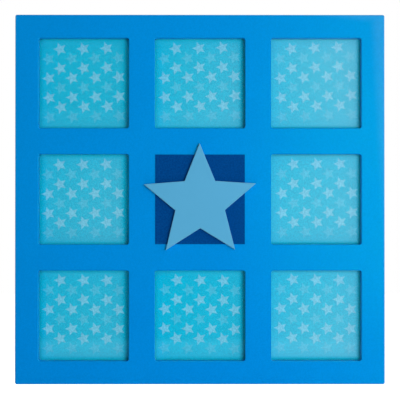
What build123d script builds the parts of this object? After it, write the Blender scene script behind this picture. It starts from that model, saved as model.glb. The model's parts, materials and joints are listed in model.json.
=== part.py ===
from build123d import *
from math import atan2, cos, hypot, radians, sin, sqrt, tan
import os

# Collage photo frame, hung on a wall.
# X runs to the right as the viewer sees it, Y runs into the wall and Z runs up.
# The origin is the middle of the frame on the wall, so the face looks along -Y.

# Layout of the face, the same across and down
MARGIN = 25.0
WINDOW = 98.0
BAR = 28.0
ROWS = ("top", "middle", "bottom")
COLUMNS = ("left", "centre", "right")

# Face board, routed from one sheet
BOARD_THICKNESS = 15.0
BOARD_CORNER_RADIUS = 2.0
BOARD_EDGE_BEVEL = 0.8
WINDOW_CORNER_RADIUS = 2.5
WINDOW_EDGE_BEVEL = 0.4

# Rear pocket of a window, and the layers that it holds
POCKET_LIP = 2.0
POCKET_CORNER_RADIUS = 3.0
LAYER_CORNER_CLEARANCE = 0.12
PANE_THICKNESS = 2.0
PRINT_THICKNESS = 0.3
BACKING_THICKNESS = 3.0
BACKING_SINK = 0.2

# Star and the square that it stands on
SQUARE_INSET = 0.5
SQUARE_THICKNESS = 0.4
STAR_POINTS = 5
STAR_TIP_RADIUS = 63.5
STAR_NOTCH_RADIUS = 28.2
STAR_THICKNESS = 5.0
STAR_BEVEL = 0.5
STAR_DROP = 3.0
STAR_TURN = 0.45

# Screw, which pivots a turn button or holds a hanger plate
SHANK_RADIUS = 1.5
SHANK_BITE = 9.0
PILOT_CLEARANCE = 0.02
HEAD_RADIUS = 2.9
HEAD_HEIGHT = 1.7
HEAD_GAP = 0.05

# Turn button, stamped from sheet, which spans a bar and has both tips bent up for a finger
BUTTON_OVERLAP = 8.0
BUTTON_EYE_WIDTH = 9.0
BUTTON_TIP_WIDTH = 6.0
BUTTON_TIP_CLIP = 1.6
BUTTON_SHEET = 1.0
BUTTON_TIP_LENGTH = 3.5
BUTTON_TIP_RISE = 0.9
BUTTON_BEND_RADIUS = 2.0
BUTTON_SEAT_GAP = 0.1
BUTTON_EYE_CLEARANCE = 0.06
CREASE_WIDTH = 2.4
CREASE_HEIGHT = 0.5
CREASE_SLOPE = 60.0
CREASE_MARGIN = 0.7

# Keyhole hanger plate, and the pocket behind it for the head of the wall screw
PLATE_LENGTH = 36.0
PLATE_WIDTH = 16.0
PLATE_SHEET = 1.2
PLATE_CORNER_RADIUS = 4.0
PLATE_TOP_GAP = 4.0
PLATE_SCREW_INSET = 4.5
PLATE_HOLE_CLEARANCE = 0.15
KEYHOLE_RADIUS = 4.5
KEYHOLE_SLOT_RADIUS = 2.25
KEYHOLE_RISE = 7.5
HEAD_POCKET_MARGIN = 0.8
HEAD_POCKET_DEPTH = 6.5

# Wall pad at each corner
PAD_SIZE = 12.0
PAD_INSET = 11.5
PAD_PROUD = 0.65

# Sizes and places that follow from the values above
PITCH = WINDOW + BAR
SIDE = 2 * MARGIN + len(COLUMNS) * WINDOW + (len(COLUMNS) - 1) * BAR
POCKET = WINDOW + 2 * POCKET_LIP
LAYER = POCKET - 2 * (POCKET_CORNER_RADIUS * (1 - sqrt(0.5)) + LAYER_CORNER_CLEARANCE)
POCKET_DEPTH = PANE_THICKNESS + PRINT_THICKNESS + BACKING_THICKNESS + BACKING_SINK
BUTTON_REACH = BAR / 2 - POCKET_LIP + BUTTON_OVERLAP
BUTTON_GRIP = BUTTON_SEAT_GAP + BUTTON_SHEET + HEAD_GAP
PLATE_GRIP = PLATE_SHEET + HEAD_GAP
PAD_THICKNESS = max(BUTTON_GRIP, PLATE_GRIP) + HEAD_HEIGHT + PAD_PROUD
BACK_Y = -PAD_THICKNESS
FRONT_Y = BACK_Y - BOARD_THICKNESS
PANE_BACK_Y = BACK_Y - POCKET_DEPTH + PANE_THICKNESS
PRINT_BACK_Y = PANE_BACK_Y + PRINT_THICKNESS
BACKING_BACK_Y = PRINT_BACK_Y + BACKING_THICKNESS
PLATE_Z = SIDE / 2 - PLATE_TOP_GAP - PLATE_LENGTH / 2
PLATE_SCREW_OFFSET = PLATE_LENGTH / 2 - PLATE_SCREW_INSET
PLATES = {"left": -PITCH / 2, "right": PITCH / 2}
PAD_OFFSET = SIDE / 2 - PAD_INSET


def window_centres():
    """Middle of each window, by name. The middle of the grid has no window."""
    centres = {}
    for down, row in enumerate(ROWS):
        for across, column in enumerate(COLUMNS):
            if (down, across) != (1, 1):
                centres[f"{row}_{column}"] = ((across - 1) * PITCH, (1 - down) * PITCH)
    return centres


def button_pivots():
    """Pivot of each turn button, by name, with its direction across the bar between two windows."""
    pivots = {}
    for number, step in ((1, -1), (2, 1)):
        for row, up in (("top", 1), ("bottom", -1)):
            pivots[f"{row}_{number}"] = (step * PITCH / 2, up * PITCH, (1, 0, 0))
        for column, across in (("left", -1), ("right", 1)):
            pivots[f"{column}_{number}"] = (across * PITCH, -step * PITCH / 2, (0, 0, 1))
    return pivots


def plate_screw_places():
    """Places of the screws at the two ends of each hanger plate."""
    return [(x, PLATE_Z + end * PLATE_SCREW_OFFSET) for x in PLATES.values() for end in (-1, 1)]


def facing_room(x, z, y=FRONT_Y):
    """Plane at a place on the frame, with its normal towards the viewer."""
    return Plane(origin=(x, y, z), x_dir=(1, 0, 0), z_dir=(0, -1, 0))


def facing_wall(x, z, y=BACK_Y, x_dir=(-1, 0, 0)):
    """Plane at a place on the frame, with its normal towards the wall."""
    return Plane(origin=(x, y, z), x_dir=x_dir, z_dir=(0, 1, 0))


def face_board():
    """Board with its windows, rear pockets, screw holes and hanger pockets."""
    outline = RectangleRounded(SIDE, SIDE, BOARD_CORNER_RADIUS)
    for x, z in window_centres().values():
        outline -= Pos(x, z) * RectangleRounded(WINDOW, WINDOW, WINDOW_CORNER_RADIUS)
    board = extrude(facing_room(0, 0) * outline, -BOARD_THICKNESS)
    front, back = board.faces().sort_by(Axis.Y)[0], board.faces().sort_by(Axis.Y)[-1]
    board = chamfer(front.outer_wire().edges() + back.outer_wire().edges(), BOARD_EDGE_BEVEL)
    front = board.faces().sort_by(Axis.Y)[0]
    board = chamfer([edge for wire in front.inner_wires() for edge in wire.edges()], WINDOW_EDGE_BEVEL)
    pocket = RectangleRounded(POCKET, POCKET, POCKET_CORNER_RADIUS)
    cuts = [extrude(facing_wall(x, z) * pocket, -POCKET_DEPTH) for x, z in window_centres().values()]
    pilot = Circle(SHANK_RADIUS + PILOT_CLEARANCE)
    screws = [(x, z) for x, z, _ in button_pivots().values()] + plate_screw_places()
    cuts += [extrude(facing_wall(x, z) * pilot, -SHANK_BITE) for x, z in screws]
    for x in PLATES.values():
        cuts.append(extrude(facing_wall(x, PLATE_Z) * head_pocket_outline(), -HEAD_POCKET_DEPTH))
    return board - cuts


def pocket_layer(x, z, back_y, thickness):
    """Square sheet in a rear pocket, whose corners clear the rounded corners of the pocket."""
    return extrude(facing_wall(x, z, back_y) * Rectangle(LAYER, LAYER), -thickness)


def centre_square():
    """Thin square in the middle of the face, as large as a window."""
    side = WINDOW - 2 * SQUARE_INSET
    return extrude(facing_room(0, 0) * Rectangle(side, side), SQUARE_THICKNESS)


def star_outline(scale):
    """Star with one point up, its corners in turn on the tip circle and the notch circle."""
    corners = []
    for step in range(2 * STAR_POINTS):
        radius = scale * (STAR_NOTCH_RADIUS if step % 2 else STAR_TIP_RADIUS)
        angle = radians(90 + step * 180 / STAR_POINTS)
        corners.append((radius * cos(angle), radius * sin(angle)))
    return make_face(Polyline(*corners, close=True))


def star():
    """Star plaque with a bevel round its face. Its edges are all as far from the middle."""
    turn = radians(180 / STAR_POINTS)
    edge_x = STAR_TIP_RADIUS - STAR_NOTCH_RADIUS * cos(turn)
    edge_y = STAR_NOTCH_RADIUS * sin(turn)
    edge_distance = STAR_TIP_RADIUS * edge_y / hypot(edge_x, edge_y)
    base = facing_room(0, -STAR_DROP, FRONT_Y - SQUARE_THICKNESS) * Rot(0, 0, STAR_TURN)
    bevel_start = STAR_THICKNESS - STAR_BEVEL
    slab = extrude(star_outline(1), bevel_start)
    top = Pos(0, 0, STAR_THICKNESS) * star_outline(1 - STAR_BEVEL / edge_distance)
    return base * (slab + loft([Pos(0, 0, bevel_start) * star_outline(1), top], ruled=True))


def turn_button():
    """Turn button on its eye: a profile with both tips bent up, cut to an outline that narrows outwards."""
    bend_x = BUTTON_REACH - BUTTON_TIP_LENGTH
    slope = atan2(BUTTON_TIP_RISE, BUTTON_TIP_LENGTH)
    upper_x = bend_x - BUTTON_SHEET * tan(slope / 2)
    tip_top = BUTTON_TIP_RISE + BUTTON_SHEET / cos(slope)
    right = [(bend_x, 0), (BUTTON_REACH, BUTTON_TIP_RISE), (BUTTON_REACH, tip_top), (upper_x, BUTTON_SHEET)]
    left = [(-x, y) for x, y in reversed(right)]
    side = make_face(Polyline(*right, *left, close=True))
    lower_bend = (bend_x, 0, BUTTON_BEND_RADIUS + BUTTON_SHEET)
    upper_bend = (upper_x, BUTTON_SHEET, BUTTON_BEND_RADIUS)
    for x, y, radius in (lower_bend, upper_bend):
        bends = [side.vertices().sort_by_distance((end * x, y, 0))[0] for end in (-1, 1)]
        side = fillet(bends, radius)
    eye_y, tip_y = BUTTON_EYE_WIDTH / 2, BUTTON_TIP_WIDTH / 2
    upper = [(0, eye_y), (BUTTON_REACH - BUTTON_TIP_CLIP, tip_y), (BUTTON_REACH, tip_y - BUTTON_TIP_CLIP)]
    right = upper + [(x, -y) for x, y in reversed(upper)]
    left = [(-x, -y) for x, y in right[1:-1]]
    outline = make_face(Polyline(*right, *left, close=True))
    blade = extrude(Plane.XZ * side, BUTTON_EYE_WIDTH, both=True) & extrude(outline, tip_top)
    crease_start = HEAD_RADIUS + CREASE_MARGIN
    crease_length = bend_x - CREASE_MARGIN - crease_start
    crease = extrude(Rectangle(crease_length, CREASE_WIDTH), CREASE_HEIGHT, taper=CREASE_SLOPE)
    for end in (-1, 1):
        blade += Pos(end * (crease_start + crease_length / 2), 0, BUTTON_SHEET) * crease
    return blade - extrude(Circle(SHANK_RADIUS + BUTTON_EYE_CLEARANCE), tip_top)


def screw(grip):
    """Flat-headed screw whose head stands off the board by what it grips."""
    shank = Pos(0, 0, -SHANK_BITE) * extrude(Circle(SHANK_RADIUS), SHANK_BITE + grip)
    return shank + Pos(0, 0, grip) * extrude(Circle(HEAD_RADIUS), HEAD_HEIGHT)


def upright_slot(width):
    """Round-ended slot over the rise of the keyhole."""
    return Pos(0, KEYHOLE_RISE / 2) * Rot(0, 0, 90) * SlotCenterToCenter(KEYHOLE_RISE, width)


def keyhole_outline():
    """Round entry for the head of a wall screw, with a slot for its neck above it."""
    return Circle(KEYHOLE_RADIUS) + upright_slot(2 * KEYHOLE_SLOT_RADIUS)


def head_pocket_outline():
    """Pocket wide enough for the head of the wall screw, over the whole rise of the keyhole."""
    return upright_slot(2 * (KEYHOLE_RADIUS + HEAD_POCKET_MARGIN))


def hanger_plate():
    """Keyhole plate with a screw hole near each end."""
    outline = RectangleRounded(PLATE_WIDTH, PLATE_LENGTH, PLATE_CORNER_RADIUS) - keyhole_outline()
    hole = Circle(SHANK_RADIUS + PLATE_HOLE_CLEARANCE)
    for end in (-1, 1):
        outline -= Pos(0, end * PLATE_SCREW_OFFSET) * hole
    return extrude(outline, PLATE_SHEET)


def wall_pad():
    """Soft square pad."""
    return extrude(Rectangle(PAD_SIZE, PAD_SIZE), PAD_THICKNESS)


def save(shape, node):
    """Write one node of the frame."""
    export_step(shape, f"parts/{node}.step")


os.makedirs("parts", exist_ok=True)
save(face_board(), "face_board")
save(centre_square(), "centre_square")
save(star(), "star")
for window, (x, z) in window_centres().items():
    save(pocket_layer(x, z, PANE_BACK_Y, PANE_THICKNESS), f"glass_{window}")
    save(pocket_layer(x, z, PRINT_BACK_Y, PRINT_THICKNESS), f"print_{window}")
    save(pocket_layer(x, z, BACKING_BACK_Y, BACKING_THICKNESS), f"backing_{window}")
button = turn_button()
for name, (x, z, across_bar) in button_pivots().items():
    seat = facing_wall(x, z, BACK_Y + BUTTON_SEAT_GAP, across_bar)
    save(seat * button, f"turn_button_{name}")
button_screw = screw(BUTTON_GRIP)
button_screws = [facing_wall(x, z) * button_screw for x, z, _ in button_pivots().values()]
save(Compound(children=button_screws), "button_screws")
plate = hanger_plate()
for side, x in PLATES.items():
    save(facing_wall(x, PLATE_Z) * plate, f"hanger_plate_{side}")
plate_screw = screw(PLATE_GRIP)
save(Compound(children=[facing_wall(x, z) * plate_screw for x, z in plate_screw_places()]), "hanger_screws")
pad = wall_pad()
for row, up in (("top", 1), ("bottom", -1)):
    for column, across in (("left", -1), ("right", 1)):
        save(facing_wall(across * PAD_OFFSET, up * PAD_OFFSET) * pad, f"wall_pad_{row}_{column}")
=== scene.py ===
import json
from math import cos, hypot, pi, radians, sin

import bpy
import numpy as np
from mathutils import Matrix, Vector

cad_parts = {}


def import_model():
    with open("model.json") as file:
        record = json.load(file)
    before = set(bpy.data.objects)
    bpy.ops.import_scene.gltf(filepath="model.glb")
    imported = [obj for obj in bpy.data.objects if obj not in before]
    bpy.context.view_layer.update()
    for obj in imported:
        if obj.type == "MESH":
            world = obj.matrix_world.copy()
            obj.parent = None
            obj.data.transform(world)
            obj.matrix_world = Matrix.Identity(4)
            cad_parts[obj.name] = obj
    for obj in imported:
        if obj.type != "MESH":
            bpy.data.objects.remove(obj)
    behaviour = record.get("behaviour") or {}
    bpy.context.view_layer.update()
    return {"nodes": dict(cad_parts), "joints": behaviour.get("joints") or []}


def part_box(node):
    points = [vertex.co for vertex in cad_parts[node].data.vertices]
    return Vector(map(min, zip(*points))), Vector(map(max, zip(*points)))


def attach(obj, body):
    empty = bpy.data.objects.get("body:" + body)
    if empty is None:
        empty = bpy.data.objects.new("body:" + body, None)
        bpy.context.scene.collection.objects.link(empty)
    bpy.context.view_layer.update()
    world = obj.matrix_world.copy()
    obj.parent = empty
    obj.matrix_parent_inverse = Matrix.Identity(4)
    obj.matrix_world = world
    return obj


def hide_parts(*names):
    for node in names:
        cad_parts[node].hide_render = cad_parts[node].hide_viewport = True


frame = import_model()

MM = 0.001

# Places on the frame, read from its own pieces
WINDOWS = [name.removeprefix("print_") for name in frame["nodes"] if name.startswith("print_")]
BOARD_LOW, BOARD_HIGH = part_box("face_board")
HALF_SIDE = BOARD_HIGH.x
BACK_Y = BOARD_HIGH.y
GLASS_FRONT_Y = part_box("glass_top_left")[0].y
STAR_FACE_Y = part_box("star")[0].y
SCREW_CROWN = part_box("button_screws")[1].y - BACK_Y
SCREW_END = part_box("button_screws")[0].y - BACK_Y
PLATE_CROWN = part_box("hanger_screws")[1].y - BACK_Y

# Camera, square on to the face
CAMERA_PLACE = (-0.003, -1.0, -0.0056)
CAMERA_TURN = (90.286, -0.008, -0.176)
LENS = 81.64
SENSOR = 36

# Studio light: a softbox to the right of the camera, one behind the frame, and a fill from all round
KEY_PLACE = (0.31, -0.88, 0.02)
KEY_SIZE = (0.32, 0.5)
KEY_POWER = 5.5
REAR_PLACE = (-0.9, 1.2, 0.7)
REAR_SIZE = (1.0, 1.0)
REAR_POWER = 13.0
# The fill's level, how much it grows to the right and downwards, and how much is added behind
FILL = 0.84
FILL_SLANT = (0.75, 0.9)
FILL_BEHIND = 0.15
# What gloss mirrors: in front dim, more from level upwards and most on the right; behind white, less low down
FRONT_LOW = 0.07
FRONT_LEVEL = 0.43
FRONT_RIGHT = 1.65
REAR_LOW = 0.65

# Floor
FLOOR_DROP = 0.3
FLOOR_HALF = 4.0
FLOOR_LINES = 9
FLOOR_GLOW = 0.76

# Star print: rows of stars that lie half a step apart, every third row faint
PRINT_STAR_STEP = 25.5 * MM
PRINT_ROW_STEP = 10.62 * MM
PRINT_ROWS = 8
PRINT_STAR_TIP = 7.5 * MM
PRINT_STAR_NOTCH = 3.45 * MM
PRINT_STAR_SOFT = 0.3 * MM
PRINT_STAR_FAINT = 0.36

# How each print lies in its window: across and up in millimetres, and its turn in degrees
PRINT_PLACES = {
    "top_left": (-1.0, 1.8, 1.1),
    "top_centre": (-0.2, 2.5, 1.3),
    "top_right": (0.9, 2.8, 2.1),
    "middle_left": (-1.5, 0.9, 0.6),
    "middle_right": (2.2, 1.6, 0.4),
    "bottom_left": (-1.1, 0.3, -0.2),
    "bottom_centre": (0.0, 0.3, -0.8),
    "bottom_right": (0.7, 0.9, -0.7),
}

# How far each print is washed towards white, and how much more so to the right and downwards, for each metre: partly a
# fade that differs from print to print, partly a painted sheen that is strongest in the right column and grows to the
# right
PRINT_FADE_AND_SHEEN = {
    "top_left": (0.014, 8, 4),
    "top_centre": (0.035, 13, 4),
    "top_right": (0.078, 8, -2),
    "middle_left": (0.040, 8, 4),
    "middle_right": (0.068, 6, 1.5),
    "bottom_left": (0.025, 8, 4),
    "bottom_centre": (0.010, 18, 4),
    "bottom_right": (0.062, 8, 4),
}

# Painted shade, by column: how much the prints are darkened along their left and kept from the fade and sheen along
# their left and top, and where the fade and sheen end on the right
PRINT_EDGE_SHADE = {"left": 1.0, "centre": 0.75, "right": 0.15}
FADE_SHADE_END = {"left": 44 * MM, "centre": 47 * MM, "right": 50 * MM}
# How much painted shade darkens them along their foot, by row and column, and how much painted light brightens them
# just above it, by row
ROW_FOOT_SHADE = {"top": 0.6, "middle": 0.25, "bottom": 0.0}
COLUMN_FOOT_SHADE = {"left": 0.0, "centre": 0.2, "right": 0.4}
ROW_PAINTED_LIGHT = {"top": 0.07, "middle": 0.0, "bottom": 0.17}

# Bands of painted shade and painted light along a print's edges, from and to, across or up from the middle of its
# window
FADE_SHADE_LEFT = (-48 * MM, -39 * MM)
FADE_SHADE_RIGHT_WIDTH = 7 * MM
FADE_SHADE_TOP = (43 * MM, 48.5 * MM)
FADE_SHADE_FOOT = (-48.5 * MM, -44 * MM)
SHADE_LEFT = (-49 * MM, -44 * MM)
SHADE_FOOT = (-49 * MM, -46 * MM)
PAINTED_LIGHT_FOOT = (-32 * MM, -24 * MM)
# Bands above and below the rows of stars, where the ground is plainer
PLAIN_TOP = (40 * MM, 46 * MM)
PLAIN_FOOT = (41 * MM, 46 * MM)

# Screws
HEAD_RADIUS = 2.9 * MM
HEAD_HEIGHT = 1.7 * MM
HEAD_WALL = 0.45 * MM
HEAD_FOOT = 0.1 * MM
DOME_POWER = 2.6
SHANK_RADIUS = 1.5 * MM
CROSS_REACH = 1.65 * MM
CROSS_WIDTH = 0.42 * MM
CROSS_DEPTH = 1.0 * MM
CROSS_SOFT = 0.18 * MM
SCREW_SIDES = 72
PLATE_SCREW_INSET = 4.5 * MM
TURN_SEED = 5

# Wall pads
PAD_HALF = 6.0 * MM
PAD_SHOULDER = 1.0 * MM
PAD_DISH = 0.35 * MM
PAD_SQUARENESS = 7
PAD_RINGS = 8
PAD_SIDES = 96

# Linear colours of the face
BOARD_BLUE = (0.0, 0.200, 0.660)
BOARD_LIGHT = (0.0, 0.216, 0.700)
BOARD_SPECKLE = (0.0, 0.179, 0.585)
# Painted sheen, whitening the board along its right rim and at the top right
BOARD_PAINTED_SHEEN = (0.85, 0.90, 0.95)
BOARD_SHEEN = (0.01, 0.95, 0.15)
STAR_BLUE = (0.067, 0.322, 0.535)
STAR_LIGHT = (0.077, 0.340, 0.561)
STAR_WORN = (0.40, 0.40, 0.36)
FILM_BLUE = (0.0, 0.034, 0.168)
FILM_LIGHT = (0.0, 0.052, 0.226)
FILM_RUBBED = (0.01, 0.09, 0.32)
FILM_SHEEN = (0.06, 0.6, 1.0)
PRINT_DARK = (0.0, 0.365, 0.565)
PRINT_LIGHT = (0.0, 0.485, 0.69)
PRINT_BLOT = (0.0, 0.39, 0.59)
PRINT_PLAIN = (0.01, 0.465, 0.67)
# Painted light, paler just above a print's foot
PRINT_PAINTED_LIGHT = (0.1, 0.62, 0.86)
# Painted shade along a print's left and foot
PRINT_PAINTED_SHADE = (0.0, 0.27, 0.45)
# White of the fade and painted sheen on the prints
PRINT_FADE_AND_SHEEN_WHITE = (0.8, 0.85, 0.88)
PRINT_STAR_DARK = (0.105, 0.425, 0.61)
PRINT_STAR_LIGHT = (0.16, 0.555, 0.73)
GLASS_CLEAR = (0.985, 0.995, 0.99)
GLASS_DUST = (0.8, 0.82, 0.84)

# Linear colours of the back and of the floor
FIBRE_DARK = (0.30, 0.195, 0.105)
FIBRE_LIGHT = (0.47, 0.335, 0.20)
FIBRE_CROSSED = (0.20, 0.12, 0.06)
FIBRE_FLECK = (0.12, 0.07, 0.035)
HARDBOARD_DARK = (0.17, 0.088, 0.04)
HARDBOARD_LIGHT = (0.34, 0.195, 0.098)
HARDBOARD_CLOUD = (0.14, 0.07, 0.035)
HARDBOARD_FLECK = (0.46, 0.31, 0.17)
HARDBOARD_PRESSED = (0.10, 0.05, 0.024)
ZINC_DARK = (0.53, 0.54, 0.555)
ZINC_LIGHT = (0.68, 0.69, 0.70)
ZINC_BLOOM = (0.47, 0.48, 0.50)
ZINC_SCRATCH = (0.85, 0.85, 0.86)
YELLOW_STRAW = (0.72, 0.60, 0.33)
YELLOW_PINK = (0.66, 0.57, 0.42)
YELLOW_GREEN = (0.62, 0.66, 0.42)
# Painted shade in the screws' driver recess
YELLOW_RECESS_SHADE = (0.16, 0.12, 0.07)
RUBBER_DARK = (0.04, 0.04, 0.043)
RUBBER_LIGHT = (0.065, 0.065, 0.068)
RUBBER_DUST = (0.22, 0.21, 0.20)
FLOOR_PALE = (0.80, 0.80, 0.80)
FLOOR_LIGHT = (0.83, 0.83, 0.83)
WHITE = (1, 1, 1)


class Wire:
    """One shader socket. Arithmetic on it adds Math nodes, with a number on either side."""

    def __init__(self, finish, socket):
        self.finish = finish
        self.socket = socket

    def __add__(self, other):
        return self.finish.maths("ADD", self, other)

    def __radd__(self, other):
        return self.finish.maths("ADD", other, self)

    def __sub__(self, other):
        return self.finish.maths("SUBTRACT", self, other)

    def __rsub__(self, other):
        return self.finish.maths("SUBTRACT", other, self)

    def __mul__(self, other):
        return self.finish.maths("MULTIPLY", self, other)

    def __rmul__(self, other):
        return self.finish.maths("MULTIPLY", other, self)

    def __truediv__(self, other):
        return self.finish.maths("DIVIDE", self, other)

    def __abs__(self):
        return self.finish.maths("ABSOLUTE", self)


class Outputs:
    """The output sockets of one node, by name or number."""

    def __init__(self, finish, node):
        self.finish = finish
        self.node = node

    def __getitem__(self, name):
        return Wire(self.finish, self.node.outputs[name])


class Finish:
    """A node tree in the making, for a material or for the world."""

    def __init__(self, owner):
        owner.use_nodes = True
        self.owner = owner
        self.tree = owner.node_tree
        self.tree.nodes.clear()

    def node(self, kind, settings=(), inputs=()):
        """Add a node: its settings first, then a value or a wire for each socket."""
        node = self.tree.nodes.new(kind)
        for name, value in dict(settings).items():
            setattr(node, name, value)
        for name, value in dict(inputs).items():
            socket = node.inputs[name]
            if isinstance(value, Wire):
                self.tree.links.new(value.socket, socket)
            elif socket.type == "RGBA":
                socket.default_value = (*value, 1.0)
            else:
                socket.default_value = value
        return Outputs(self, node)

    def maths(self, operation, *values):
        return self.node("ShaderNodeMath", {"operation": operation}, enumerate(values))[0]

    def largest(self, *values):
        result = values[0]
        for value in values[1:]:
            result = self.maths("MAXIMUM", result, value)
        return result

    def between(self, value, low, high):
        """The value held between two limits."""
        return self.maths("MINIMUM", self.maths("MAXIMUM", value, low), high)

    def rise(self, value, low, high):
        """0 below low, 1 above high, and a smooth rise between them."""
        limits = {"Value": value, "From Min": low, "From Max": high}
        return self.node("ShaderNodeMapRange", {"interpolation_type": "SMOOTHSTEP"}, limits)[0]

    def mix(self, share, first, second):
        """The first colour with a share of the second."""
        return self.node("ShaderNodeMix", {"data_type": "RGBA"}, {0: share, 6: first, 7: second})[2]

    def place(self):
        """The piece's own coordinates, in metres in the frame's axes."""
        return self.node("ShaderNodeTexCoord")["Object"]

    def parts(self, vector):
        """The three numbers of a vector."""
        split = self.node("ShaderNodeSeparateXYZ", (), {0: vector})
        return split["X"], split["Y"], split["Z"]

    def noise(self, size, detail=2.0, stretch=(1, 1, 1), offset=0.0):
        """Noise whose grains are about that size in metres, longer along a stretched axis."""
        scale = [1 / (size * along) for along in stretch]
        spread = {"Vector": self.place(), "Location": (offset, offset, offset), "Scale": scale}
        inputs = {"Vector": self.node("ShaderNodeMapping", (), spread)[0], "Scale": 1.0, "Detail": detail}
        return self.node("ShaderNodeTexNoise", (), inputs)[0]

    def bump(self, height, depth):
        """Surface normal for a height from 0 to 1 that is worth that depth in metres."""
        return self.node("ShaderNodeBump", (), {"Distance": depth, "Height": height})[0]

    def principled(self, **inputs):
        """The main shader, with its sockets named as in Blender but for underscores in place of spaces."""
        named = {name.replace("_", " "): value for name, value in inputs.items()}
        return self.node("ShaderNodeBsdfPrincipled", (), named)[0]

    def layered(self, share, under, over):
        """A shader with a share of another over it."""
        return self.node("ShaderNodeMixShader", (), {0: share, 1: under, 2: over})[0]

    def close(self, shader, output="ShaderNodeOutputMaterial"):
        self.node(output, (), {"Surface": shader})
        return self.owner


def new_finish(name):
    return Finish(bpy.data.materials.new(name))


# Finishes of the face


def bare_fibreboard(paint):
    """Colour and height of sawn fibreboard: matted fibres in two lengths, with fine dark flecks."""
    fibres = paint.noise(1.6 * MM, 4.0, (3, 1, 1))
    cross_fibres = paint.noise(0.7 * MM, 3.0, (1, 1, 2.5), 3.0)
    flecks = paint.rise(paint.noise(2.2 * MM, 3.0, offset=7.0), 0.62, 0.74)
    colour = paint.mix(fibres, FIBRE_DARK, FIBRE_LIGHT)
    colour = paint.mix(0.35 * cross_fibres, colour, FIBRE_CROSSED)
    colour = paint.mix(0.4 * flecks, colour, FIBRE_FLECK)
    return colour, fibres * 0.6 + cross_fibres * 0.4


def under_plate(paint, x, y, z):
    """1 in the pockets that are milled under the two hanger plates."""
    low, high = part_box("hanger_plate_right")
    middle = (low + high) / 2
    soft = 0.2 * MM
    beside = paint.rise(abs(abs(x) - middle.x), high.x - middle.x, high.x - middle.x + soft)
    beyond = paint.rise(abs(z - middle.z), high.z - middle.z, high.z - middle.z + soft)
    return (1 - beside) * (1 - beyond) * paint.rise(y, BACK_Y - 8 * MM, BACK_Y - 7.5 * MM)


def bare_wood(paint, x, y, z):
    """1 where the board is left bare: its back, the rear pockets and under the plates. Blue mist lies near the rim."""
    from_middle = paint.largest(abs(x), abs(z))
    in_pocket = paint.rise(y, GLASS_FRONT_Y - 0.15 * MM, GLASS_FRONT_Y)
    inside_rim = 1 - paint.rise(from_middle, HALF_SIDE - 1.2 * MM, HALF_SIDE - 0.9 * MM)
    rear_face = paint.rise(y, BACK_Y - 0.35 * MM, BACK_Y - 0.1 * MM)
    bare = paint.largest(rear_face, in_pocket * inside_rim, under_plate(paint, x, y, z))
    mist_grain = paint.rise(paint.noise(1.1 * MM, 2.0), 0.42, 0.6)
    mist_fade = paint.rise(from_middle + 9 * MM * paint.noise(14 * MM), HALF_SIDE - 8 * MM, HALF_SIDE + 9 * MM)
    return bare * (1 - mist_fade * (0.3 + 0.6 * mist_grain))


def board_lacquer():
    """Sprayed satin blue with fine speckle and a painted sheen along the right and at the top right, over bare
    fibreboard behind.
    """
    paint = new_finish("board_lacquer")
    x, y, z = paint.parts(paint.place())
    clouds = paint.noise(55 * MM, 3.0)
    peel = paint.noise(1.3 * MM, 1.0)
    speckle = paint.rise(paint.noise(1.6 * MM, 2.0, offset=5.0), 0.3, 0.7)
    # Painted sheen: the lacquer is whitened a little along the right rim and at the top right corner
    right_rim = paint.rise(x + 0.06 * z, HALF_SIDE - 7 * MM, HALF_SIDE + 7 * MM)
    top_rim = paint.rise(z + 0.12 * x, HALF_SIDE + 12 * MM, HALF_SIDE + 22 * MM)
    painted_sheen = paint.largest(right_rim, top_rim) * (0.5 + paint.noise(9 * MM, 2.0, (1, 1, 2)))
    blue = paint.mix(clouds, BOARD_BLUE, BOARD_LIGHT)
    blue = paint.mix(0.5 * speckle, blue, BOARD_SPECKLE)
    blue = paint.mix(0.022 * painted_sheen, blue, BOARD_PAINTED_SHEEN)
    lacquer = paint.principled(
        Base_Color=blue,
        Roughness=0.22 + 0.06 * clouds,
        Specular_IOR_Level=1.0,
        Specular_Tint=BOARD_SHEEN,
        Normal=paint.bump(peel, 0.018 * MM),
    )
    fibre_colour, fibre_height = bare_fibreboard(paint)
    sawn = paint.principled(
        Base_Color=fibre_colour,
        Roughness=0.78 + 0.1 * fibre_height,
        Specular_IOR_Level=0.2,
        Normal=paint.bump(fibre_height, 0.05 * MM),
    )
    return paint.close(paint.layered(bare_wood(paint, x, y, z), lacquer, sawn))


def star_lacquer():
    """Sprayed satin light blue, thin on the bevelled edges, where the fibreboard shows through a little."""
    paint = new_finish("star_lacquer")
    _, y, _ = paint.parts(paint.place())
    bevel = paint.rise(y, STAR_FACE_Y + 0.05 * MM, STAR_FACE_Y + 0.2 * MM)
    bevel = bevel * (1 - paint.rise(y, STAR_FACE_Y + 0.5 * MM, STAR_FACE_Y + 0.8 * MM))
    worn = bevel * paint.rise(paint.noise(5 * MM, 4.0), 0.35, 0.65)
    clouds = paint.noise(30 * MM, 3.0)
    peel = paint.noise(1.3 * MM, 1.0)
    blue = paint.mix(clouds, STAR_BLUE, STAR_LIGHT)
    blue = paint.mix(0.16 * worn, blue, STAR_WORN)
    return paint.close(
        paint.principled(
            Base_Color=blue,
            Roughness=0.42 + 0.12 * clouds,
            Specular_IOR_Level=0.25,
            Normal=paint.bump(peel, 0.02 * MM),
        )
    )


def square_film():
    """Matt dark blue film with a fine pebbled grain and a few lighter rub marks."""
    paint = new_finish("square_film")
    grain = paint.rise(paint.noise(1.6 * MM, 3.0), 0.3, 0.7)
    rubs = paint.rise(paint.noise(7 * MM, 4.0, (4, 1, 1)), 0.55, 0.8)
    blue = paint.mix(grain, FILM_BLUE, FILM_LIGHT)
    blue = paint.mix(0.12 * rubs, blue, FILM_RUBBED)
    return paint.close(
        paint.principled(
            Base_Color=blue,
            Roughness=0.5 + 0.15 * grain - 0.1 * rubs,
            Specular_IOR_Level=0.2,
            Specular_Tint=FILM_SHEEN,
            Normal=paint.bump(grain, 0.015 * MM),
        )
    )


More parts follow.
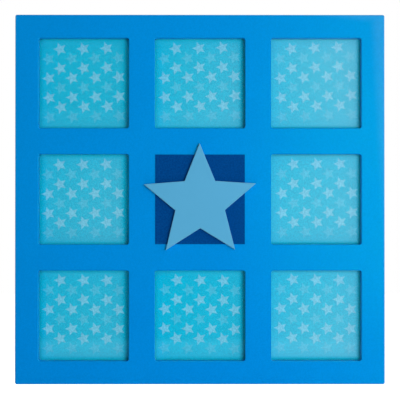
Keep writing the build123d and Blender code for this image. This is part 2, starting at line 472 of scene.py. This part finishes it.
def star_shape(paint, across, up):
    """One star with a tip to the left. The angle is folded into a tenth of a turn, where the edge is one line."""
    turn = pi / 5
    edge_across = PRINT_STAR_NOTCH * sin(turn)
    edge_up = PRINT_STAR_TIP - PRINT_STAR_NOTCH * cos(turn)
    edge = hypot(edge_across, edge_up)
    radius = paint.maths("SQRT", across * across + up * up)
    fold = paint.maths("PINGPONG", paint.maths("ARCTAN2", up, across) - pi, turn)
    along = radius * paint.maths("COSINE", fold) - PRINT_STAR_TIP
    aside = radius * paint.maths("SINE", fold)
    beyond = along * (edge_across / edge) + aside * (edge_up / edge)
    return 1 - paint.rise(beyond, -PRINT_STAR_SOFT, PRINT_STAR_SOFT)


def star_rows(paint, across, up, first, columns):
    """Every other row from the first, by the nearest star of a grid. Every third row of all is faint."""
    top = (PRINT_ROWS - 1) / 2 * PRINT_ROW_STEP - (first - 1) * PRINT_ROW_STEP
    row = paint.between(paint.maths("ROUND", (top - up) / (2 * PRINT_ROW_STEP)), 0, PRINT_ROWS / 2 - 1)
    start = -(columns - 1) / 2 * PRINT_STAR_STEP
    column = paint.between(paint.maths("ROUND", (across - start) / PRINT_STAR_STEP), 0, columns - 1)
    star = star_shape(paint, across - start - column * PRINT_STAR_STEP, up - top + row * (2 * PRINT_ROW_STEP))
    number = row * 2 + first
    strong = paint.maths("MINIMUM", paint.maths("MODULO", number + 1, 3), 1)
    return star * (PRINT_STAR_FAINT + (1 - PRINT_STAR_FAINT) * strong)


def print_edges(paint, window, middle):
    """How far a print is washed towards white by fade and painted sheen, held off at its edges by painted shade, how
    much painted shade darkens it along its left and foot, and how much painted light brightens it just above its foot."""
    x, _, z = paint.parts(paint.place())
    beside, above = x - middle.x, z - middle.z
    row, column = window.split("_")
    # How strong the painted shade is in this column, and where the fade and sheen end on the right
    depth, right = PRINT_EDGE_SHADE[column], FADE_SHADE_END[column]
    # Painted shade holds the fade and sheen off along the left, right, top and foot
    from_left = 1 - depth * (1 - paint.rise(beside, *FADE_SHADE_LEFT))
    from_right = 1 - paint.rise(beside, right - FADE_SHADE_RIGHT_WIDTH, right)
    from_top = 1 - depth * paint.rise(above, *FADE_SHADE_TOP)
    from_foot = paint.rise(above, *FADE_SHADE_FOOT)
    # Fade and painted sheen: whiter in the right column and towards the right
    base_fade_and_sheen, rightward, downward = PRINT_FADE_AND_SHEEN[window]
    fade_and_sheen = base_fade_and_sheen * (1 + rightward * beside - downward * above)
    # Painted shade: darker along the left and along the foot
    left = 0.4 * depth * (1 - paint.rise(beside, *SHADE_LEFT))
    foot = (ROW_FOOT_SHADE[row] + COLUMN_FOOT_SHADE[column]) * (1 - paint.rise(above, *SHADE_FOOT))
    # Painted light: paler just above the foot
    pale = ROW_PAINTED_LIGHT[row] * (1 - paint.rise(above, *PAINTED_LIGHT_FOOT)) * from_foot
    return fade_and_sheen * from_left * from_right * from_top * from_foot, paint.largest(left, foot), pale


def star_print(window):
    """Turquoise paper with rows of pale stars in fine grain, plainer above and below, with painted shade along its
    edges and painted light above its foot, and washed a little towards white by fade and painted sheen."""
    across_mm, up_mm, turn = PRINT_PLACES[window]
    paint = new_finish(f"star_print_{window}")
    low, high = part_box(f"print_{window}")
    middle = (low + high) / 2
    centre = (middle.x + across_mm * MM, 0, middle.z + up_mm * MM)
    lay = {"Vector": paint.place(), "Location": centre, "Rotation": (0, radians(-turn), 0)}
    laid = paint.node("ShaderNodeMapping", {"vector_type": "TEXTURE"}, lay)[0]
    across, _, up = paint.parts(laid)
    odd_rows = star_rows(paint, across, up, first=1, columns=3)
    even_rows = star_rows(paint, across, up, first=2, columns=4)
    grain = paint.rise(paint.noise(1.5 * MM, 3.0), 0.3, 0.7)
    blots = paint.noise(6 * MM, 3.0)
    plain = 0.6 * paint.rise(up, *PLAIN_TOP) + 0.3 * paint.rise(0 - up, *PLAIN_FOOT)
    fade_and_sheen, painted_shade, painted_light_foot = print_edges(paint, window, middle)
    ground = paint.mix(grain, PRINT_DARK, PRINT_LIGHT)
    ground = paint.mix(0.3 * blots, ground, PRINT_BLOT)
    ground = paint.mix(plain, ground, PRINT_PLAIN)
    # Painted light just above the foot
    ground = paint.mix(painted_light_foot, ground, PRINT_PAINTED_LIGHT)
    stars = paint.mix(grain, PRINT_STAR_DARK, PRINT_STAR_LIGHT)
    printed = paint.mix(paint.largest(odd_rows, even_rows), ground, stars)
    # Fade and painted sheen whiten the print, less so where painted shade holds them off
    printed = paint.mix(fade_and_sheen, printed, PRINT_FADE_AND_SHEEN_WHITE)
    # Painted shade darkens the print along its left and foot
    return paint.close(
        paint.principled(
            Base_Color=paint.mix(painted_shade, printed, PRINT_PAINTED_SHADE),
            Roughness=0.5 + 0.1 * grain,
            Specular_IOR_Level=0.04,
            Normal=paint.bump(grain, 0.006 * MM),
        )
    )


def pane_glass():
    """Coated picture glass that mirrors little but at a slant, with a thin uneven haze."""
    paint = new_finish("glass")
    haze = 0.002 * paint.noise(40 * MM, 3.0)
    slant = paint.node("ShaderNodeLayerWeight", (), {"Blend": 0.5})["Facing"]
    mirror = 0.005 + 0.99 * paint.maths("POWER", slant, 5)
    clear = paint.node("ShaderNodeBsdfTransparent", (), {"Color": GLASS_CLEAR})[0]
    gloss = paint.node("ShaderNodeBsdfGlossy", (), {"Color": WHITE, "Roughness": 0.03})[0]
    dust = paint.node("ShaderNodeBsdfDiffuse", (), {"Color": GLASS_DUST})[0]
    return paint.close(paint.layered(haze, paint.layered(mirror, clear, gloss), dust))


# Finishes of the back


def hardboard():
    """Brown pressed board, wet-felted fibres with the print of the press screen, 1.7 mm from wire to wire."""
    paint = new_finish("hardboard")
    x, _, z = paint.parts(paint.place())
    wires = 2 * pi / (1.7 * MM)
    screen = paint.maths("SINE", x * wires) * paint.maths("SINE", z * wires) * 0.5 + 0.5
    fibres = paint.noise(2.5 * MM, 4.0, (3, 1, 1))
    clouds = paint.noise(35 * MM, 3.0)
    flecks = paint.rise(paint.noise(1.2 * MM, 2.0, (1, 1, 2), 4.0), 0.6, 0.72)
    colour = paint.mix(fibres, HARDBOARD_DARK, HARDBOARD_LIGHT)
    colour = paint.mix(0.3 * clouds, colour, HARDBOARD_CLOUD)
    colour = paint.mix(0.35 * flecks, colour, HARDBOARD_FLECK)
    colour = paint.mix(0.25 * (1 - screen), colour, HARDBOARD_PRESSED)
    return paint.close(
        paint.principled(
            Base_Color=colour,
            Roughness=0.72 + 0.16 * fibres,
            Specular_IOR_Level=0.2,
            Normal=paint.bump(screen * 0.7 + fibres * 0.3, 0.12 * MM),
        )
    )


def zinc_sheet(name, along):
    """Zinc-plated sheet: rolled lines along one axis, dull blooms and a few bright scratches."""
    paint = new_finish(name)
    rolled = paint.noise(0.35 * MM, 2.0, along)
    bloom = paint.rise(paint.noise(4 * MM, 4.0), 0.45, 0.75)
    scratch = paint.rise(paint.noise(0.6 * MM, 2.0, (1, 1, 14), 9.0), 0.7, 0.76)
    colour = paint.mix(rolled, ZINC_DARK, ZINC_LIGHT)
    colour = paint.mix(0.45 * bloom, colour, ZINC_BLOOM)
    colour = paint.mix(0.5 * scratch, colour, ZINC_SCRATCH)
    return paint.close(
        paint.principled(
            Base_Color=colour,
            Metallic=1.0,
            Roughness=0.3 + 0.12 * rolled + 0.2 * bloom,
            Normal=paint.bump(rolled, 0.012 * MM),
        )
    )


def yellow_zinc():
    """Yellow-passivated zinc, straw to faint pink and green in patches, with painted shade in the driver recess."""
    paint = new_finish("screw_steel")
    patches = paint.noise(1.6 * MM, 2.0)
    tints = paint.noise(2.3 * MM, 1.0, offset=6.0)
    recess = paint.node("ShaderNodeAttribute", {"attribute_name": "recess"})["Fac"]
    colour = paint.mix(patches, YELLOW_STRAW, YELLOW_PINK)
    colour = paint.mix(0.5 * paint.rise(tints, 0.5, 0.7), colour, YELLOW_GREEN)
    # Painted shade darkens the driver recess
    colour = paint.mix(0.7 * recess, colour, YELLOW_RECESS_SHADE)
    return paint.close(
        paint.principled(
            Base_Color=colour,
            Metallic=1.0,
            Roughness=0.3 + 0.15 * patches + 0.2 * recess,
            Normal=paint.bump(patches, 0.01 * MM),
        )
    )


def pad_rubber():
    """Soft dark rubber with a moulded grain and pale dust."""
    paint = new_finish("pad_rubber")
    grain = paint.noise(0.4 * MM, 2.0)
    dust = paint.rise(paint.noise(2.5 * MM, 4.0), 0.5, 0.8)
    colour = paint.mix(grain, RUBBER_DARK, RUBBER_LIGHT)
    colour = paint.mix(0.35 * dust, colour, RUBBER_DUST)
    return paint.close(
        paint.principled(
            Base_Color=colour,
            Roughness=0.68 + 0.2 * dust,
            Specular_IOR_Level=0.35,
            Normal=paint.bump(grain, 0.02 * MM),
        )
    )


# Pieces made here


def shell(rings, first, last):
    """Vertices and faces of a closed skin: a grid of rings joined side to side, and a fan to a pole at each end."""
    count, around = rings.shape[:2]
    index = np.arange(count * around).reshape(count, around)
    beside = np.roll(index, -1, axis=1)
    quads = np.stack([index[:-1], beside[:-1], beside[1:], index[1:]], axis=-1).reshape(-1, 4)
    poles = count * around + np.arange(2)
    start = np.stack([np.full(around, poles[0]), beside[0], index[0]], axis=-1)
    end = np.stack([np.full(around, poles[1]), index[-1], beside[-1]], axis=-1)
    vertices = np.concatenate([rings.reshape(-1, 3), [first, last]])
    return vertices, quads, np.concatenate([start, end])


def joined(shells):
    """Several skins as one list of vertices and one of faces."""
    offset = 0
    vertices, faces = [], []
    for points, quads, fans in shells:
        vertices.append(points)
        faces += (quads + offset).tolist() + (fans + offset).tolist()
        offset += len(points)
    return np.concatenate(vertices), faces


def new_piece(name, shells, material):
    """A smooth piece of one or more closed skins."""
    vertices, faces = joined(shells)
    mesh = bpy.data.meshes.new(name)
    mesh.from_pydata(vertices.tolist(), [], faces)
    mesh.polygons.foreach_set("use_smooth", np.ones(len(faces), bool))
    mesh.materials.append(material)
    mesh.update()
    piece = bpy.data.objects.new(name, mesh)
    bpy.context.scene.collection.objects.link(piece)
    return piece


def on_back(points, x, z):
    """Local points, with their third number away from the board, set on the back of the board."""
    return np.stack([x - points[..., 0], BACK_Y + points[..., 2], z + points[..., 1]], axis=-1)


def smooth(value):
    """0 to 1 with a level start and end."""
    value = np.clip(value, 0, 1)
    return value * value * (3 - 2 * value)


def cross_recess(across, up):
    """1 in a driver recess of two crossed arms that narrow outwards, 0 outside it, smooth between."""
    width = CROSS_WIDTH * (1.15 - 0.3 * np.hypot(across, up) / CROSS_REACH)
    arms = [
        smooth((width - abs(aside)) / CROSS_SOFT + 0.5) * smooth((CROSS_REACH - abs(along)) / CROSS_SOFT + 0.5)
        for along, aside in ((across, up), (up, across))
    ]
    return np.maximum(*arms)


def screw_shell(crown, turn):
    """Domed screw: the head is a flat arch over its radius, less the driver recess, over a plain shank."""
    angles = np.arange(SCREW_SIDES) * (2 * pi / SCREW_SIDES) + turn
    dome = np.concatenate([np.linspace(0.12, 1.75, 13) * MM, np.linspace(1.95, 2.9, 7) * MM])
    edge = crown - HEAD_HEIGHT
    arch = (HEAD_HEIGHT - HEAD_WALL) * np.sqrt(np.clip(1 - (dome / HEAD_RADIUS) ** DOME_POWER, 0, 1))
    radii = np.concatenate([dome, [HEAD_RADIUS, HEAD_RADIUS, SHANK_RADIUS, SHANK_RADIUS]])
    heights = np.concatenate([edge + HEAD_WALL + arch, [edge + HEAD_FOOT, edge, edge, SCREW_END]])
    across = radii[:, None] * np.cos(angles)
    up = radii[:, None] * np.sin(angles)
    tall = np.repeat(heights[:, None], len(angles), axis=1)
    local_across = radii[:, None] * np.cos(angles - turn)
    local_up = radii[:, None] * np.sin(angles - turn)
    recess = cross_recess(local_across, local_up)
    recess[len(dome) :] = 0
    deep = CROSS_DEPTH * (1 - 0.35 * np.hypot(local_across, local_up) / CROSS_REACH)
    rings = np.stack([across, up, tall - recess * deep], axis=-1)
    first = np.array([0, 0, crown - CROSS_DEPTH])
    last = np.array([0, 0, SCREW_END])
    return rings, first, last, np.concatenate([recess.ravel(), [1.0, 0.0]])


def screws(name, node, crown, places, turns, material):
    """One piece of several screws, with how deep each point lies in a recess as an attribute."""
    shells, depths = [], []
    for (x, z), turn in zip(places, turns):
        rings, first, last, recess = screw_shell(crown, turn)
        shells.append(shell(on_back(rings, x, z), on_back(first, x, z), on_back(last, x, z)))
        depths.append(recess)
    piece = new_piece(name, shells, material)
    attribute = piece.data.attributes.new("recess", "FLOAT", "POINT")
    attribute.data.foreach_set("value", np.concatenate(depths).astype(np.float32))
    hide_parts(node)
    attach(piece, "frame")


def wall_pad(node, material):
    """Square pad with round corners: superellipse rings over a quarter-round shoulder, with a shallow dish in its
    face."""
    low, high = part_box(node)
    thick = high.y - low.y
    bend = np.linspace(0, pi / 2, PAD_RINGS)
    reaches = np.concatenate([
        np.linspace(0.6 * MM, PAD_HALF - 1.6 * MM, PAD_RINGS),
        PAD_HALF - PAD_SHOULDER + PAD_SHOULDER * np.sin(bend),
        [PAD_HALF, PAD_HALF, PAD_HALF - 0.2 * MM],
    ])
    dish = PAD_DISH * (1 - smooth(np.linspace(0, 1, PAD_RINGS)))
    heights = np.concatenate([
        thick - dish,
        thick - PAD_SHOULDER + PAD_SHOULDER * np.cos(bend),
        [thick * 0.4, 0.15 * MM, 0.0],
    ])
    angles = np.arange(PAD_SIDES) * (2 * pi / PAD_SIDES)
    across, up = np.cos(angles), np.sin(angles)
    stretch = (abs(across) ** PAD_SQUARENESS + abs(up) ** PAD_SQUARENESS) ** (-1 / PAD_SQUARENESS)
    tall = np.repeat(heights[:, None], len(angles), axis=1)
    rings = np.stack([reaches[:, None] * stretch * across, reaches[:, None] * stretch * up, tall], axis=-1)
    x, z = (low.x + high.x) / 2, (low.z + high.z) / 2
    first, last = np.array([0, 0, heights[0]]), np.array([0, 0, 0.0])
    skin = shell(on_back(rings, x, z), on_back(first, x, z), on_back(last, x, z))
    piece = new_piece(node.replace("wall_pad", "soft_pad"), [skin], material)
    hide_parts(node)
    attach(piece, "frame")


# Stage


def world():
    """White to the eye. The fill grows to the right and downwards. Reflections are white behind, less so low down, and
    dim in front but for the right."""
    light = Finish(bpy.data.worlds.new("studio"))
    x, y, z = light.parts(light.node("ShaderNodeTexCoord")["Generated"])
    path = light.node("ShaderNodeLightPath")
    eye = path["Is Camera Ray"]
    mirrored = light.largest(path["Is Glossy Ray"], path["Is Transmission Ray"])
    behind = light.rise(y, -0.15, 0.35)
    level, right_side = light.rise(z, -0.24, 0), light.rise(x + 0.2 * z, 0.1, 0.25)
    front = FRONT_LOW + FRONT_LEVEL * level + FRONT_RIGHT * right_side
    rear = REAR_LOW + (1 - REAR_LOW) * light.rise(z, -0.3, 0.1)
    reflected = behind * rear + (1 - behind) * front
    right, down = FILL_SLANT
    fill = FILL * (1 + right * x - down * z) + FILL_BEHIND * behind
    strength = eye + (1 - eye) * (mirrored * reflected + (1 - mirrored) * fill)
    background = light.node("ShaderNodeBackground", (), {"Color": WHITE, "Strength": strength})[0]
    bpy.context.scene.world = light.close(background, "ShaderNodeOutputWorld")


def floor():
    """Plain pale floor below the hung frame, a level grid. To the eye it glows a little, so that it is white but for
    shadows, and gloss doesn't mirror it."""
    paint = new_finish("pale_floor")
    grain = paint.noise(0.3, 3.0)
    eye = paint.node("ShaderNodeLightPath")["Is Camera Ray"]
    pale = paint.mix(grain, FLOOR_PALE, FLOOR_LIGHT)
    matt = paint.node("ShaderNodeBsdfDiffuse", (), {"Color": pale})[0]
    glow = paint.node("ShaderNodeEmission", (), {"Color": WHITE, "Strength": FLOOR_GLOW})[0]
    glowing = paint.node("ShaderNodeAddShader", (), {0: matt, 1: glow})[0]
    material = paint.close(paint.layered(eye, matt, glowing))
    lines = np.linspace(-FLOOR_HALF, FLOOR_HALF, FLOOR_LINES)
    across, along = np.meshgrid(lines, lines)
    points = np.stack([across, along, np.full_like(across, BOARD_LOW.z - FLOOR_DROP)], axis=-1)
    index = np.arange(FLOOR_LINES**2).reshape(FLOOR_LINES, FLOOR_LINES)
    faces = np.stack([index[:-1, :-1], index[:-1, 1:], index[1:, 1:], index[1:, :-1]], axis=-1)
    mesh = bpy.data.meshes.new("floor")
    mesh.from_pydata(points.reshape(-1, 3).tolist(), [], faces.reshape(-1, 4).tolist())
    mesh.materials.append(material)
    plane = bpy.data.objects.new("floor", mesh)
    bpy.context.scene.collection.objects.link(plane)
    plane.visible_glossy = False


def softbox(name, place, size, power):
    """Oblong lamp that faces the middle of the frame, and that gloss doesn't mirror."""
    lamp = bpy.data.lights.new(name, "AREA")
    lamp.shape = "RECTANGLE"
    lamp.size, lamp.size_y = size
    lamp.energy = power
    box = bpy.data.objects.new(name, lamp)
    box.location = place
    box.rotation_euler = (-box.location).to_track_quat("-Z", "Y").to_euler()
    box.visible_glossy = False
    bpy.context.scene.collection.objects.link(box)


def camera():
    eye = bpy.data.cameras.new("camera")
    eye.sensor_width = SENSOR
    eye.lens = LENS
    holder = bpy.data.objects.new("camera", eye)
    holder.location = CAMERA_PLACE
    holder.rotation_euler = [radians(turn) for turn in CAMERA_TURN]
    bpy.context.scene.collection.objects.link(holder)
    bpy.context.scene.camera = holder


# The frame put together


def dress(node, material):
    """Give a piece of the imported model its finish."""
    slots = frame["nodes"][node].data.materials
    slots.clear()
    slots.append(material)


def dress_all():
    dress("face_board", board_lacquer())
    dress("centre_square", square_film())
    dress("star", star_lacquer())
    glass = pane_glass()
    backing = hardboard()
    for window in WINDOWS:
        dress(f"print_{window}", star_print(window))
        dress(f"glass_{window}", glass)
        dress(f"backing_{window}", backing)
    level_buttons = zinc_sheet("button_steel_level", (12, 1, 1))
    upright_buttons = zinc_sheet("button_steel_upright", (1, 1, 12))
    plates = zinc_sheet("plate_steel", (1, 1, 12))
    for node in frame["nodes"]:
        if node.startswith(("turn_button_top", "turn_button_bottom")):
            dress(node, level_buttons)
        if node.startswith(("turn_button_left", "turn_button_right")):
            dress(node, upright_buttons)
        if node.startswith("hanger_plate"):
            dress(node, plates)


def make_fittings():
    """Screws, each turned as it happened to stop, and wall pads."""
    yellow = yellow_zinc()
    rubber = pad_rubber()
    rng = np.random.default_rng(TURN_SEED)
    pivots = [(joint["pos_m"][0], joint["pos_m"][2]) for joint in frame["joints"]]
    screws("pivot_screws", "button_screws", SCREW_CROWN, pivots, rng.uniform(0, pi / 2, len(pivots)), yellow)
    ends = []
    for side in ("left", "right"):
        low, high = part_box(f"hanger_plate_{side}")
        middle = (low.x + high.x) / 2
        ends += [(middle, low.z + PLATE_SCREW_INSET), (middle, high.z - PLATE_SCREW_INSET)]
    screws("plate_screws", "hanger_screws", PLATE_CROWN, ends, rng.uniform(0, pi / 2, len(ends)), yellow)
    for node in frame["nodes"]:
        if node.startswith("wall_pad"):
            wall_pad(node, rubber)


camera()
world()
floor()
softbox("key_softbox", KEY_PLACE, KEY_SIZE, KEY_POWER)
softbox("rear_softbox", REAR_PLACE, REAR_SIZE, REAR_POWER)
dress_all()
make_fittings()
bpy.context.scene.view_settings.view_transform = "Standard"
